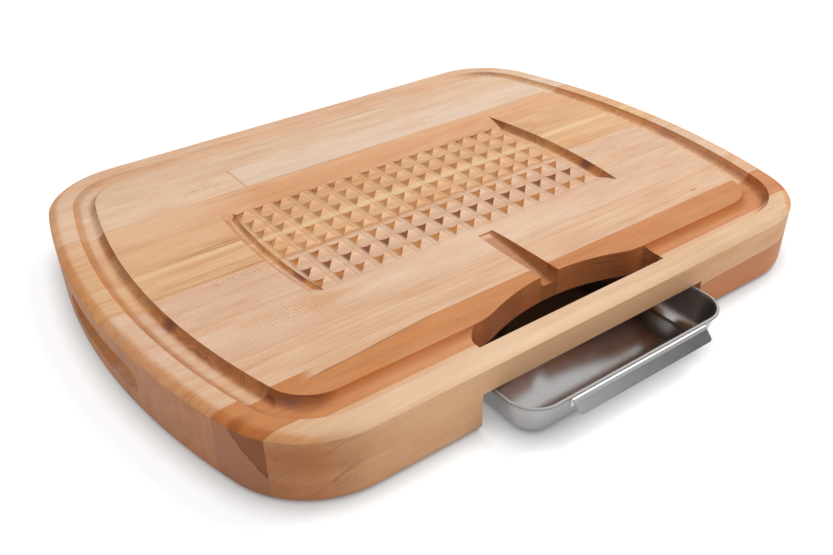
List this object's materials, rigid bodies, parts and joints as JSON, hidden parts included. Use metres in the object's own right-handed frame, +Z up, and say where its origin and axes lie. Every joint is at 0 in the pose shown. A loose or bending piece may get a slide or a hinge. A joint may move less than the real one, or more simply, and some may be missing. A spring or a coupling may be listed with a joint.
{
  "type": "wooden cutting board",
  "caption": "Thick maple carving board with bowed ends, juice groove, gripping pyramids and finger grips; a mouth drains into a steel pan that slides out of the front.",
  "frame": {"origin": "middle of the board's underside, on the surface that it stands on", "axes": "+X along the staves to the right, +Y to the back, +Z up; the pan slides out along -Y"},
  "size_m": [0.6096, 0.5067, 0.0571],
  "materials": {
    "maple_tan": "oiled",
    "maple_amber": "oiled",
    "maple_pale": "oiled",
    "maple_rose": "oiled",
    "maple_warm": "oiled",
    "pan_steel": "satin"
  },
  "bodies": {
    "board": {"stave_01": "maple_tan", "stave_02": "maple_amber", "stave_03": "maple_pale", "stave_04": "maple_rose", "stave_05": "maple_rose", "stave_06": "maple_warm", "stave_07": "maple_warm", "stave_08": "maple_warm", "stave_09_left": "maple_pale", "stave_09_right": "maple_pale", "stave_10": "maple_rose", "stave_11": "maple_tan"},
    "pan": {"drip_pan": "pan_steel", "pan_pull": "pan_steel"}
  },
  "joints": [
    {"name": "pan_slide", "type": "slide", "parent": "board", "child": "pan", "axis": [0, -1, 0], "range_m": [-0.0384, 0.13]}
  ]
}
